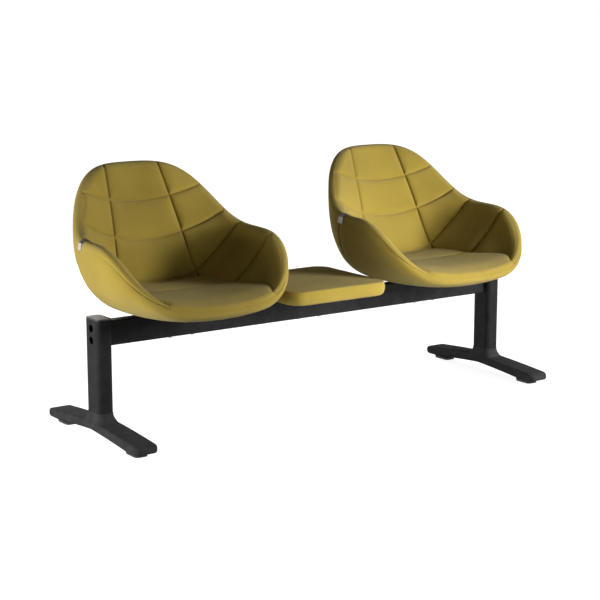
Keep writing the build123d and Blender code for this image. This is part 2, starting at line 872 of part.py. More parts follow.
# Table: a board in the recess of a padded top
table_saddle, table_plate, table_through_bolts, table_through_nuts = carrier(
    table_plate_length, table_plate_depth, table_screw_x, table_screw_y, wood_screw[0]
)
table_board_size = table_size - 2 * table_board_inset
table_board_corner = table_corner - table_board_inset
table_screw_places = GridLocations(2 * table_screw_x, 2 * table_screw_y, 2, 2).locations

with BuildPart() as table_board:
    with BuildSketch(level(plate_top)):
        RectangleRounded(table_board_size, table_board_size, table_board_corner)
        with GridLocations(through_bolt_spacing, 0, 2, 1):
            Circle(m8[1] + 2 * hole_gap, mode=Mode.SUBTRACT)
    extrude(amount=board_thickness)
    with BuildSketch(level(plate_top)):
        with GridLocations(2 * table_screw_x, 2 * table_screw_y, 2, 2):
            Circle(wood_screw[0] + thread_gap)
    extrude(amount=table_screw_bite + thread_tail, mode=Mode.SUBTRACT)

table_screw = socket_screw(wood_screw, plate_thickness + table_screw_bite)
with BuildPart() as table_screws:
    for place in table_screw_places:
        add(Location((0, beam_y, plate_bottom)) * place * table_screw)

# Each level of the padded top: height above its skirt and inset from its widest outline
table_skirt_bottom = plate_top - table_skirt
table_levels = (
    (0, table_tuck),
    (table_height * 0.2, table_tuck * 0.2),
    (table_height * 0.55, 0),
    (table_height - table_edge, table_edge * 0.15),
    (table_height - table_edge * 0.25, table_edge * 0.6),
    (table_height, table_edge * 1.6),
)
with BuildPart() as table_pad:
    for rise, margin in table_levels:
        with BuildSketch(level(table_skirt_bottom + rise)):
            RectangleRounded(table_size - 2 * margin, table_size - 2 * margin, table_corner - margin)
    loft()
    with BuildSketch(level(table_skirt_bottom)):
        RectangleRounded(
            table_board_size + 2 * fit_gap,
            table_board_size + 2 * fit_gap,
            table_board_corner + fit_gap,
        )
    extrude(amount=table_skirt + board_thickness + fit_gap, mode=Mode.SUBTRACT)

for node, solid in (
    ("table_saddle", table_saddle),
    ("table_plate", table_plate),
    ("table_through_bolts", table_through_bolts),
    ("table_through_nuts", table_through_nuts),
    ("table_screws", table_screws.part),
    ("table_board", table_board.part),
    ("table_pad", table_pad.part),
):
    save(node, solid)
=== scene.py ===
"""Looks of the two-seat beam unit: velvet tubs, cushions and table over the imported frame. Metres."""
import json
from math import cos, radians, sin

import bmesh
import bpy
import numpy as np
from mathutils import Matrix, Vector
from mathutils.kdtree import KDTree


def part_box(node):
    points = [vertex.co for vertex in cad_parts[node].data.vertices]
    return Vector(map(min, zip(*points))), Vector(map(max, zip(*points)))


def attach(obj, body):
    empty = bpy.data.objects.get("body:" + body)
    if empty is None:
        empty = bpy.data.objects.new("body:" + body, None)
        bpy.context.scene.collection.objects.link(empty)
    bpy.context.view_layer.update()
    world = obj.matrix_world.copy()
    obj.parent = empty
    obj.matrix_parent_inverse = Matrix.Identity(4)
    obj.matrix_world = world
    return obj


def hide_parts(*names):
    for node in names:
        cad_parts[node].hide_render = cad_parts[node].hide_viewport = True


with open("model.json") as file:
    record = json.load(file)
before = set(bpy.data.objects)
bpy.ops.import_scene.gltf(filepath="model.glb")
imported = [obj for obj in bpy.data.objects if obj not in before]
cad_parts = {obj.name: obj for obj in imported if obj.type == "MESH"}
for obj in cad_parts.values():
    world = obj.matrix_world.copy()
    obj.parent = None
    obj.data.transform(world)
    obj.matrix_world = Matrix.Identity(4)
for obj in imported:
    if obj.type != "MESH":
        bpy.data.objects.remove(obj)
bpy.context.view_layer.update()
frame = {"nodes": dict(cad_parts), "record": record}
nodes = frame["nodes"]

# Places read from the frame
beam_low, beam_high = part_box("beam_tube")
beam_y = (beam_low.y + beam_high.y) / 2
tub_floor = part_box("left_shell")[0].z
cushion_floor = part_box("left_seat_cushion")[0].z
seat_centres = {
    side: (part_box(f"{side}_shell")[0].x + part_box(f"{side}_shell")[1].x) / 2 for side in ("left", "right")
}

# Tub sizes, as in the part's source; angles in degrees run from the back (0) to the front (180)
rim_half_width = 0.308
rim_back = 0.340
rim_front = 0.268
rim_square_back = 2.1
rim_square_front = 3.3
back_height = 0.830
arm_height = 0.623
lip_height = 0.430
shoulder_spread = 52.5
shoulder_power = 3.6
front_spread = 59.0
front_power = 4.25
lean_spread = 42.0
lean_power = 2
rim_roll = 0.018
lip_roll = 0.013
base_half_width = 0.150
base_back = 0.150
base_front = 0.225
base_square = 2.3
base_hole = 0.062
back_lean = 18.0
arm_lean = -8.0
lip_lean = 6.0
bottom_rise = 1.0
lip_bias = 4.0
crease_height = 0.464
crease_side = 0.182
crease_splay = 0.08
crease_back = 0.152
crease_square = 6.0
inner_lean_back = 24.0
inner_lean_arm = 28.0
foot_lean_back = 30.0
foot_lean_arm = 42.0

# Sewn lines of the lining: front view (x, z) for the back, side view (y, z) for the arms
tall_seam_top = (0.098, 0.852)
tall_seam_foot = (0.146, 0.440)
upper_seam_middle = 0.706
upper_seam_end = (0.221, 0.752)
lower_seam_middle = 0.583
lower_seam_end = (0.271, 0.670)
corner_seam_top = (0.086, 0.660)
corner_seam_foot = (0.150, 0.430)
arm_seam_top = (-0.084, 0.650)
arm_seam_foot = (-0.048, 0.430)

# Seat cushion: dished across, and carried over the front lip to a seam below its edge
seat_middle = 0.449
seat_dish = 0.015
seat_dish_half_width = 0.180
seat_dish_limit = 1.6
seat_roll_start = -0.190
seat_roll_length = 0.080
seat_roll_drop = 0.014
seat_edge_drop = 0.010
seat_edge_reach = 0.012
cross_seam_y = -0.036
cross_seam_depth = 0.0035
cushion_puff = 0.004
cushion_puff_reach = 0.04
cushion_least_round = 0.0005
cushion_tuck = 0.006
cushion_tuck_inside = 0.002
cushion_floor_inset = 0.012
cushion_wall_gap = 0.002
lip_cover_rise = 0.005
lip_cover_round = 0.016
lip_round_start = 80
tuck_start = 12
tuck_steps = 7
lip_cover_setback = 0.0004

# Seam under the arm's roll, down from its crest: it starts by the tag and runs out at the seat's front corner
rim_seam_drop = 0.030
rim_seam_end_drop = 0.015
rim_seam_start = (84.0, 128.0)
rim_seam_taper = (118.0, 143.0)
rim_seam_depth = 0.0032
rim_seam_valley = 0.015
rim_seam_past_end = 4.0
rim_seam_run_out = 5.0

# Sewn seam down each side of the outside, and the blank tag at its top on the left
side_seam_top = 77.5
side_seam_foot = 71.0
side_seam_lean_height = 0.24
side_seam_low_fade = (0.004, 0.03)
side_seam_crest_fade = 0.02
side_seam_depth = 0.003
side_seam_half_width = 0.0028
side_panel_puff = 0.0015
side_panel_reach = 0.02
tag_width = 0.038
tag_thickness = 0.0012
tag_gap = 0.0004
tag_inside = 150.0
tag_start = 0.001
tag_dark = 0.038
tag_pale = 0.022

# Feet, wider and flatter than the part's own; heights from the floor, reaches from the column's middle
foot_half_width = 0.040
foot_reach = 0.300
foot_glide_reach = 0.228
foot_top = 0.060
foot_top_fall = 0.0135
foot_top_power = 1.4
foot_arch_top = 0.032
foot_arch_fall = 0.0190
foot_arch_power = 1.2
foot_edge = 0.009
foot_nose = 0.022
foot_nose_side = 0.016
foot_nose_half_height = 0.005
collar_low = 0.0545
collar_high = 0.088
collar_half_x = 0.028
collar_half_y = 0.044
collar_corner = 0.017
collar_flare_x = 0.010
collar_flare_y = 0.020
bolt_reach = 0.020
bolt_bore = 0.0055
bolt_head_bore = 0.0085
bolt_head_seat = 0.050
stud_bore = 0.0041
stud_bore_top = 0.0452
stud_collar_bore = 0.0085
stud_collar_top = 0.0142
foot_least_flat = 0.0005
collar_flare_power = 2.2
collar_sunk = 0.005
bore_overrun = 0.01
bore_sides = 32
casting_sharp_angle = radians(40)

# Upholstery detail
seam_half_width = 0.0024
seam_depth = 0.0054
panel_puff = 0.008
panel_reach = 0.012
panel_rim_fade = (0.003, 0.030)
seam_rim_fade = (0.0, 0.005)
lumbar_puff = 0.010
lumbar_side_fade = 0.07
lumbar_height_fade = 0.10
table_crown = 0.003
table_bulge = 0.003
table_edge = 0.006
table_corner = 0.050
table_foot_rise = 0.006
table_foot_tuck = 0.002
table_under_shares = (0.97, 0.94, 0.5)
table_under_rise = 0.002
table_crown_power = 4

# Cloth run that fills the cushions and the table's pad
fill_voxel = 0.006
fill_pressure = 4.0
fill_frames = 20
fill_neighbours = 6
cushion_fill_cap = 0.006
table_fill_cap = 0.004

# Points of the grids, and limits that keep their sums sound
around = 720
floor_steps = 6
wall_steps = 50
cover_roll_steps = 16
lining_roll_steps = 12
lining_steps = 80
inside_steps = 40
seat_steps = 64
seat_edge_passes = 3
table_around = 240
table_top_steps = 30
table_edge_steps = 8
table_side_steps = 10
foot_steps = 30
collar_steps = 12
corner_steps = 9
tag_wall_steps = 20
tag_steps = 10
hub_share = 0.02
upright = 90.0
least_slope = 0.2
least_step = 1e-9
least_normal = 1e-12
arch_overrun = 1.2


def swell(angle, spread, power):
    """One at angle nought, falling smoothly to nought past the spread."""
    return np.exp(-((np.abs(angle) / spread) ** power))


def front_share(angle):
    """One at the front lip and nought at the arms and the back."""
    return swell(180 - np.abs(angle), front_spread, front_power)


def oval(angle, half_width, back, front, square_back, square_front):
    """Radius of a squared oval with its own reach and squareness behind and in front."""
    across, along = np.abs(np.sin(np.radians(angle))), np.cos(np.radians(angle))
    reach = np.where(along > 0, back, front)
    square = np.where(along > 0, square_back, square_front)
    return ((across / half_width) ** square + (np.abs(along) / reach) ** square) ** (-1 / square)


def rim(angle):
    """Radius of the roll's middle, its height and the roll's own radius."""
    arm = 1 - front_share(angle)
    roll = lip_roll + (rim_roll - lip_roll) * arm
    radius = oval(angle, rim_half_width, rim_back, rim_front, rim_square_back, rim_square_front)
    shoulder = swell(angle, shoulder_spread, shoulder_power)
    crest = lip_height + (arm_height - lip_height) * arm + (back_height - arm_height) * shoulder
    return radius, crest - roll, roll


def crease(angle):
    """Radius of the crease between the seat and the walls."""
    across, along = np.abs(np.sin(np.radians(angle))), np.cos(np.radians(angle))
    radius, _, roll = rim(angle)
    side = np.maximum(across + crease_splay * along, 0) / crease_side
    back = np.maximum(along, 0) / crease_back
    front = 1 / (radius - roll)
    return (side**crease_square + back**crease_square + front**crease_square) ** (-1 / crease_square)


def heading_point(point, heading, distance):
    """Points moved a distance along a heading in degrees, in the section plane."""
    turn = np.radians(heading)
    return point + np.stack([np.cos(turn), np.sin(turn)], -1) * np.asarray(distance)[..., None]


def arc(start, heading, end, shares):
    """Arcs that leave start on a heading and reach end: their points, one row per angle, and end headings."""
    run = end - start
    chord = np.degrees(np.arctan2(run[:, 1], run[:, 0]))
    bend = (chord - heading + 180) % 360 - 180
    turn = np.radians(bend)[:, None] * shares[None, :]
    reach = np.hypot(run[:, 0], run[:, 1])[:, None] * np.sin(turn) / np.sin(np.radians(bend))[:, None]
    return heading_point(start[:, None, :], heading[:, None] + np.degrees(turn), reach), heading + 2 * bend


def bow(start, heading, end, end_heading, bias, count):
    """Points along two tangent arcs; bias lengthens the first arc."""
    first_way = np.stack([np.cos(np.radians(heading)), np.sin(np.radians(heading))], -1)
    last_way = np.stack([np.cos(np.radians(end_heading)), np.sin(np.radians(end_heading))], -1)
    way = bias[:, None] * first_way + last_way
    run = end - start
    square = (way**2).sum(1) - (1 + bias) ** 2
    half = (run * way).sum(1)
    reach = (half - np.sqrt(half**2 - square * (run**2).sum(1))) / square
    first = start + first_way * (bias * reach)[:, None]
    second = end - last_way * reach[:, None]
    joint = first + (second - first) * (bias / (1 + bias))[:, None]
    shares = np.linspace(0, 1, count)
    opening, turned = arc(start, heading, joint, shares)
    closing, _ = arc(joint, turned, end, shares)
    return np.concatenate([opening, closing[:, 1:]], 1)


def roll_arc(angle, start, end, count):
    """Points round the rim's roll between two headings."""
    radius, middle, roll = rim(angle)
    centre = np.stack([radius, middle], -1)[:, None, :]
    shares = np.linspace(0, 1, count)[None, :]
    heading = start[:, None] + (end - start)[:, None] * shares
    return heading_point(centre, heading, np.broadcast_to(roll[:, None], heading.shape))


def leans(angle):
    """Outward leans in degrees: outside at the rim, inside at the rim and inside at the foot."""
    back, front = swell(angle, lean_spread, lean_power), front_share(angle)
    outside = arm_lean + (back_lean - arm_lean) * back + (lip_lean - arm_lean) * front
    inside = inner_lean_arm + (inner_lean_back - inner_lean_arm) * back
    foot = foot_lean_arm + (foot_lean_back - foot_lean_arm) * back
    return outside, inside, foot


def outer_wall(angle, count):
    """Outside of the tub from its flat floor to the start of the rim's roll."""
    radius, middle, roll = rim(angle)
    lean, _, _ = leans(angle)
    front = front_share(angle)
    base = oval(angle, base_half_width, base_back, base_front, base_square, base_square)
    start = np.stack([base, np.full_like(base, tub_floor)], -1)
    end = heading_point(np.stack([radius, middle], -1), -lean, roll)
    return bow(start, bottom_rise * front, end, 90 - lean, 1 + (lip_bias - 1) * front, count)


def inner_wall(angle, count):
    """Inside of the tub from the rim's roll down to the lining's foot."""
    radius, middle, roll = rim(angle)
    _, lean, foot = leans(angle)
    start = heading_point(np.stack([radius, middle], -1), 180 - lean, roll)
    depth = np.minimum(start[:, 1], crease_height) - cushion_floor
    end = np.stack([crease(angle) - depth * np.tan(np.radians(foot)), np.full_like(depth, cushion_floor)], -1)
    return bow(start, 270 - lean, end, 270 - foot, np.ones_like(lean), count)


def wheel(angle, section):
    """Sections (radius, height) turned into points round the tub's axis."""
    across, along = np.sin(np.radians(angle))[:, None], np.cos(np.radians(angle))[:, None]
    return np.stack([section[..., 0] * across, section[..., 0] * along, section[..., 1]], -1)


def normals_of(points):
    """Unit normals of a grid that closes round its first axis, on the left of its second."""
    round_way = np.roll(points, -1, 0) - np.roll(points, 1, 0)
    down_way = np.gradient(points, axis=1)
    normal = np.cross(down_way, round_way)
    return normal / np.maximum(np.linalg.norm(normal, axis=-1, keepdims=True), least_normal)


def surface_distance(points, field):
    """Distance along the surface to where a field is nought, by its slope on the grid."""
    step_round = np.linalg.norm(np.roll(points, -1, 0) - np.roll(points, 1, 0), axis=-1)
    step_down = np.linalg.norm(np.gradient(points, axis=1), axis=-1)
    slope_round = (np.roll(field, -1, 0) - np.roll(field, 1, 0)) / np.maximum(step_round, least_step)
    slope_down = np.gradient(field, axis=1) / np.maximum(step_down, least_step)
    return np.abs(field) / np.maximum(np.hypot(slope_round, slope_down), least_slope)


def line_field(a, z, top, foot):
    """Signed distance across, at each height, from a straight seam seen in a flat view."""
    return a - (foot[0] + (top[0] - foot[0]) * (z - foot[1]) / (top[1] - foot[1]))


def arch_field(x, z, middle, end):
    """Height above a seam that is an arc in the front view."""
    rise = end[1] - middle
    radius = (end[0] ** 2 + rise**2) / (2 * rise)
    reach = np.minimum(np.abs(x), end[0] * arch_overrun)
    return z - (middle + radius - np.sqrt(np.maximum(radius**2 - reach**2, 0)))


def grid_object(name, points, caps=()):
    """A mesh from a grid that closes round its first axis; caps are section ends to fill."""
    count, along = points.shape[:2]
    first = np.arange(count)[:, None] * along + np.arange(along - 1)[None, :]
    second = np.roll(np.arange(count), -1)[:, None] * along + np.arange(along - 1)[None, :]
    faces = np.stack([first, first + 1, second + 1, second], -1).reshape(-1, 4).tolist()
    for cap in caps:
        ring = np.arange(count) * along + (cap % along)
        faces.append(ring[:: 1 if cap == 0 else -1].tolist())
    mesh = bpy.data.meshes.new(name)
    mesh.from_pydata(points.reshape(-1, 3).tolist(), [], faces)
    mesh.shade_smooth()
    piece = bpy.data.objects.new(name, mesh)
    bpy.context.scene.collection.objects.link(piece)
    return piece


# Materials; a coat's lighter tone is its colour times the gain, plus the lift
coat_gain = 1.25
coat_lift = 0.002


def new_material(name, colour, roughness):
    """A principled material with its plain values set on the shader itself."""
    material = bpy.data.materials.new(name)
    material.use_nodes = True
    shader = material.node_tree.nodes["Principled BSDF"]
    shader.inputs["Base Color"].default_value = (*colour, 1)
    shader.inputs["Roughness"].default_value = roughness
    return material, material.node_tree, shader


def noise(tree, scale, detail, stretch=(1, 1, 1)):
    """A noise texture in the object's own metres."""
    place = tree.nodes.new("ShaderNodeTexCoord")
    spread = tree.nodes.new("ShaderNodeMapping")
    spread.inputs["Scale"].default_value = stretch
    texture = tree.nodes.new("ShaderNodeTexNoise")
    texture.inputs["Scale"].default_value = scale
    texture.inputs["Detail"].default_value = detail
    tree.links.new(place.outputs["Object"], spread.inputs["Vector"])
    tree.links.new(spread.outputs["Vector"], texture.inputs["Vector"])
    return texture


def ramp(tree, source, low, high, start=0.35, end=0.65):
    """A colour ramp between two colours over part of a texture's range."""
    colours = tree.nodes.new("ShaderNodeValToRGB")
    colours.color_ramp.elements[0].position = start
    colours.color_ramp.elements[0].color = (*low, 1)
    colours.color_ramp.elements[1].position = end
    colours.color_ramp.elements[1].color = (*high, 1)
    tree.links.new(source.outputs["Fac"], colours.inputs["Fac"])
    return colours


def bump(tree, shader, source, strength, distance):
    """A bump from a texture on a shader's normal."""
    raised = tree.nodes.new("ShaderNodeBump")
    raised.inputs["Strength"].default_value = strength
    raised.inputs["Distance"].default_value = distance
    tree.links.new(source.outputs["Fac"], raised.inputs["Height"])
    tree.links.new(raised.outputs["Normal"], shader.inputs["Normal"])


def velvet():
    """Mustard velvet: soft colour drift where the pile lies over, fine pile and a warm sheen."""
    material, tree, shader = new_material("velvet", (0.25, 0.168, 0.013), roughness=0.62)
    shader.inputs["Sheen Weight"].default_value = 0.16
    shader.inputs["Sheen Roughness"].default_value = 0.8
    shader.inputs["Sheen Tint"].default_value = (1.0, 0.98, 0.75, 1)
    shader.inputs["Specular IOR Level"].default_value = 0.0
    pile = noise(tree, scale=6, detail=3)
    drift = ramp(tree, pile, (0.235, 0.164, 0.015), (0.300, 0.212, 0.022), start=0.3, end=0.7)
    tree.links.new(drift.outputs["Color"], shader.inputs["Base Color"])
    bump(tree, shader, noise(tree, scale=700, detail=3), strength=0.5, distance=0.0012)
    return material


def powder_coat(name, colour, roughness, gloss=0.2):
    """Black powder coat with its fine orange peel."""
    material, tree, shader = new_material(name, colour, roughness)
    shader.inputs["Specular IOR Level"].default_value = gloss
    light = tuple(min(1, c * coat_gain + coat_lift) for c in colour)
    drift = ramp(tree, noise(tree, scale=30, detail=3), colour, light)
    tree.links.new(drift.outputs["Color"], shader.inputs["Base Color"])
    bump(tree, shader, noise(tree, scale=700, detail=2), strength=0.12, distance=0.0004)
    return material


def plain_grain(name, low, high, roughness, scale, metallic=0.0, stretch=(1, 1, 1)):
    """A material with two close tones and a fine matching bump."""
    material, tree, shader = new_material(name, low, roughness)
    shader.inputs["Metallic"].default_value = metallic
    texture = noise(tree, scale, detail=4, stretch=stretch)
    tree.links.new(ramp(tree, texture, low, high).outputs["Color"], shader.inputs["Base Color"])
    bump(tree, shader, texture, strength=0.1, distance=0.0004)
    return material


fabric = velvet()
finishes = {
    "black_steel": powder_coat("black_steel", (0.0125, 0.0125, 0.013), roughness=0.55, gloss=0.04),
    # The feet's black powder coat is painted lighter than the frame's same coat. This is painted light: it
    # stands in for the light that falls on the feet from above.
    "black_casting": powder_coat("black_casting", (0.031, 0.031, 0.0315), roughness=0.85, gloss=0.01),
    "black_bracket": powder_coat("black_bracket", (0.010, 0.010, 0.011), roughness=0.5),
    "black_plastic": plain_grain(
        "black_plastic", (0.016, 0.016, 0.017), (0.024, 0.024, 0.025), roughness=0.55, scale=260
    ),
    "glide_rubber": plain_grain(
        "glide_rubber", (0.010, 0.010, 0.010), (0.018, 0.018, 0.018), roughness=0.75, scale=180
    ),
    "plywood": plain_grain(
        "plywood", (0.42, 0.28, 0.15), (0.56, 0.40, 0.23), roughness=0.7, scale=40, stretch=(1, 8, 30)
    ),
    "zinc_steel": plain_grain(
        "zinc_steel", (0.26, 0.26, 0.27), (0.36, 0.36, 0.36), roughness=0.42, scale=300, metallic=1.0
    ),
    "velvet": fabric,
}
for part in frame["record"]["subparts"]:
    mesh = nodes[part["node"]].data
    mesh.materials.clear()
    mesh.materials.append(finishes[part["material_slot"]])


def dress(piece, replaced):
    """Padded velvet piece that stands for CAD nodes and rides on the frame."""
    piece.data.materials.append(fabric)
    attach(piece, "frame")
    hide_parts(*replaced)


# Tub cover, lining and cushion, as grids round the tub's axis
angles = np.arange(around) * 360 / around
angles = np.where(angles > 180, angles - 360, angles)


def cover_points():
    """Grid of the outside cover, from the floor's hole to the crest of the rim."""
    wall = outer_wall(angles, wall_steps)
    outside, _, _ = leans(angles)
    over = roll_arc(angles, -outside, np.full_like(angles, upright), cover_roll_steps)
    shares = np.linspace(0, 1, floor_steps)[None, :]
    floor_radius = base_hole + (wall[:, :1, 0] - base_hole) * shares
    floor = np.stack([floor_radius, np.full_like(floor_radius, tub_floor)], -1)
    return wheel(angles, np.concatenate([floor, wall[:, 1:], over[:, 1:]], 1))


def ease(value, start, end):
    """Smooth step from nought at start to one at end."""
    share = np.clip((value - start) / (end - start), 0, 1)
    return share * share * (3 - 2 * share)


def sewn(distance, width=seam_half_width):
    """One on a sewn line, falling to nought beside it."""
    return np.exp(-((distance / width) ** 2))


def lining_points():
    """Grid of the lining, from the rim's crest down, with its panels puffed between the sewn lines."""
    _, inside, _ = leans(angles)
    over = roll_arc(angles, np.full_like(angles, upright), 180 - inside, lining_roll_steps)
    points = wheel(angles, np.concatenate([over, inner_wall(angles, lining_steps)[:, 1:]], 1))
    x, y, z = points[..., 0], points[..., 1], points[..., 2]
    steps = np.linalg.norm(np.diff(points, axis=1), axis=-1)
    from_rim = np.concatenate([np.zeros((around, 1)), np.cumsum(steps, 1)], 1)
    corner = line_field(y, z, corner_seam_top, corner_seam_foot)
    arm = line_field(y, z, arm_seam_top, arm_seam_foot)
    tall = line_field(np.abs(x), z, tall_seam_top, tall_seam_foot)
    upper = arch_field(x, z, upper_seam_middle, upper_seam_end)
    lower = arch_field(x, z, lower_seam_middle, lower_seam_end)
    away = 1.0
    seams = [
        np.where(y > 0, surface_distance(points, tall), away),
        np.where(corner > 0, surface_distance(points, upper), away),
        np.where(corner > 0, surface_distance(points, lower), away),
        surface_distance(points, corner),
        surface_distance(points, arm),
    ]
    nearest = np.min(seams, 0)
    puff = panel_puff * (1 - np.exp(-nearest / panel_reach)) * ease(from_rim, *panel_rim_fade)
    groove = seam_depth * sewn(nearest) * ease(from_rim, *seam_rim_fade)
    between_seams = ease(-tall, 0, lumbar_side_fade) * (y > 0)
    low_panel = between_seams * ease(lower_seam_middle - z, 0, lumbar_height_fade)
    return points + normals_of(points) * (puff - groove + lumbar_puff * low_panel)[..., None]


def inside_radius(height):
    """Radius of the tub's inside, the rim's crest included, at one height for each angle."""
    _, inside, _ = leans(angles)
    crown = roll_arc(angles, np.full_like(angles, upright), 180 - inside, lining_roll_steps)
    section = np.concatenate([crown, inner_wall(angles, inside_steps)[:, 1:]], 1)
    return np.array([np.interp(h, s[::-1, 1], s[::-1, 0]) for h, s in zip(height, section)])


def seat_height(x, y):
    """Height of the seat's top: dished across and rolled down at the front."""
    dish = seat_dish * np.minimum((x / seat_dish_half_width) ** 2, seat_dish_limit)
    rolled = np.maximum(seat_roll_start - y, 0) / seat_roll_length
    return seat_middle + dish - seat_roll_drop * rolled**2


def cushion_points():
    """Closed grid of the seat cushion, from the middle of its top round its edge to the middle below."""
    across, along = np.sin(np.radians(angles)), np.cos(np.radians(angles))
    radius, middle, roll = rim(angles)
    crest = middle + roll
    edge = crease(angles)
    for _ in range(seat_edge_passes):
        height = seat_height(edge * across, edge * along)
        over_lip = ease(height - crest, 0, lip_cover_rise)
        inside = inside_radius(np.minimum(height, crest))
        edge = inside * (1 - over_lip) + (radius + roll - lip_cover_setback) * over_lip
    over_lip = over_lip[:, None]
    turned = cushion_least_round + lip_cover_round * over_lip
    top_edge = edge[:, None] - turned
    shares = np.sin(np.linspace(hub_share, 1, seat_steps) * np.pi / 2)[None, :]
    reach = top_edge * shares
    x, y = reach * across[:, None], reach * along[:, None]
    inward = top_edge - reach
    top = seat_height(x, y)
    seam = sewn(np.abs(y - cross_seam_y))
    puff = cushion_puff * (1 - np.exp(-np.abs(y - cross_seam_y) / cushion_puff_reach))
    drop = seat_edge_drop * (1 - over_lip)
    top = top + puff - cross_seam_depth * seam - drop * np.exp(-inward / seat_edge_reach)
    rounding = np.radians(np.linspace(lip_round_start, 0, corner_steps))[None, :]
    round_r = top_edge + turned * np.cos(rounding)
    round_z = top[:, -1:] - turned * (1 - np.sin(rounding))
    turns = np.radians(np.linspace(tuck_start, 90, tuck_steps))[None, :]
    tuck = cushion_tuck + cushion_tuck_inside * (1 - over_lip)
    edge_r = edge[:, None] - tuck * (1 - np.cos(turns))
    edge_z = round_z[:, -1:] - tuck * np.sin(turns)
    floor_z = np.full_like(top[:, -1:], cushion_floor)
    wall_r = inside_radius(floor_z[:, 0])[:, None]
    low_r = np.minimum(edge_r[:, -1:] - cushion_floor_inset, wall_r - cushion_wall_gap)
    section = np.concatenate(
        [
            np.stack([reach, top], -1),
            np.stack([round_r, round_z], -1),
            np.stack([edge_r, edge_z], -1),
            np.stack([low_r, floor_z], -1),
            np.stack([low_r * hub_share, floor_z], -1),
        ],
        1,
    )
    return wheel(angles, section)


def filled(points, cap):
    """A closed cover swelled by air pressure in a short cloth run; no point moves further than the cap."""
    bag = grid_object("filling", points, caps=(0, -1))
    even = bag.modifiers.new("even", "REMESH")
    even.mode = "VOXEL"
    even.voxel_size = fill_voxel
    mesh = bpy.data.meshes.new_from_object(bag.evaluated_get(bpy.context.evaluated_depsgraph_get()))
    bag.modifiers.clear()
    bag.data = mesh
    cloth = bag.modifiers.new("cloth", "CLOTH")
    cloth.settings.use_pressure = True
    cloth.settings.uniform_pressure_force = fill_pressure
    cloth.settings.effector_weights.gravity = 0
    cloth.point_cache.frame_start = 1
    cloth.point_cache.frame_end = fill_frames
    for frame_number in range(1, fill_frames + 1):
        bpy.context.scene.frame_set(frame_number)
    blown = bag.evaluated_get(bpy.context.evaluated_depsgraph_get()).data
    before = np.array([v.co[:] for v in mesh.vertices])
    moved = np.array([v.co[:] for v in blown.vertices]) - before
    furthest = np.linalg.norm(moved, axis=1).max()
    moved *= min(1, cap / furthest)
    print("filling moved", round(furthest * 1000, 1), "mm before the cap,", len(before), "points")
    bpy.context.scene.frame_set(1)
    bpy.data.objects.remove(bag)
    tree = KDTree(len(before))
    for index, place in enumerate(before):
        tree.insert(place, index)
    tree.balance()
    swelled = points.reshape(-1, 3).copy()
    for index, place in enumerate(swelled):
        near = tree.find_n(place, fill_neighbours)
        weight = np.array([1 / (distance + fill_voxel / 2) for _, _, distance in near])
        swelled[index] += (moved[[n for _, n, _ in near]] * weight[:, None]).sum(0) / weight.sum()
    return swelled.reshape(points.shape)


def side_seam(points):
    """The outside cover with the seams down its two sides and under the arms' rolls."""
    z = points[..., 2]
    turn = np.degrees(np.arctan2(np.abs(points[..., 0]), points[..., 1]))
    climb = np.clip((z - tub_floor) / side_seam_lean_height, 0, 1)
    line = side_seam_foot + (side_seam_top - side_seam_foot) * climb
    away = np.radians(np.abs(turn - line)) * np.hypot(points[..., 0], points[..., 1])
    _, middle, roll = rim(angles)
    share = ease(z - tub_floor, *side_seam_low_fade)
    share = share * ease((middle + roll)[:, None] - z, 0, side_seam_crest_fade)
    raised = side_panel_puff * (1 - np.exp(-away / side_panel_reach))
    raised = raised - side_seam_depth * sewn(away, side_seam_half_width)
    steps = np.linalg.norm(np.diff(points, axis=1), axis=-1)[:, ::-1]
    from_crest = np.concatenate([np.zeros((around, 1)), np.cumsum(steps, 1)], 1)[:, ::-1]
    arm = np.abs(angles)[:, None]
    drop = rim_seam_drop + (rim_seam_end_drop - rim_seam_drop) * ease(arm, *rim_seam_taper)
    to_end = rim_seam_taper[1] + rim_seam_past_end - arm
    strength = ease(arm, *rim_seam_start) * ease(to_end, 0, rim_seam_run_out)
    valley = sewn(from_crest - drop) + sewn(from_crest - drop, rim_seam_valley)
    under_roll = rim_seam_depth * strength * valley
    return points + normals_of(points) * (raised * share - under_roll)[..., None]


cushion_shape = filled(cushion_points(), cushion_fill_cap)
for side, centre in seat_centres.items():
    offset = np.array([centre, beam_y, 0])
    dress(grid_object(f"{side}_tub_cover", side_seam(cover_points()) + offset), [f"{side}_shell"])
    dress(grid_object(f"{side}_tub_lining", lining_points() + offset), [f"{side}_lining"])
    cushion = grid_object(f"{side}_cushion_cover", cushion_shape + offset, caps=(0, -1))
    dress(cushion, [f"{side}_seat_cushion"])


# Table pad: a rounded square with a soft edge, a slight bulge and a slight crown
def square_outline(half, corner, count):
    """Points round a rounded square, clockwise from the middle of its back."""
    flat = half - corner
    turn = np.radians(np.arange(count) * 360 / count)
    across, along = np.sin(turn), np.cos(turn)
    square = np.maximum(np.abs(across), np.abs(along))
    x, y = half * across / square, half * along / square
    over_x, over_y = np.maximum(np.abs(x) - flat, 0), np.maximum(np.abs(y) - flat, 0)
    in_corner = (over_x > 0) & (over_y > 0)
    angle = np.arctan2(over_y, over_x)
    swing = np.where(angle < np.pi / 4, over_y / corner, 2 - over_x / corner) * np.pi / 4
    round_x = np.sign(x) * (flat + corner * np.cos(swing))
    round_y = np.sign(y) * (flat + corner * np.sin(swing))
    return np.stack([np.where(in_corner, round_x, x), np.where(in_corner, round_y, y)], -1)


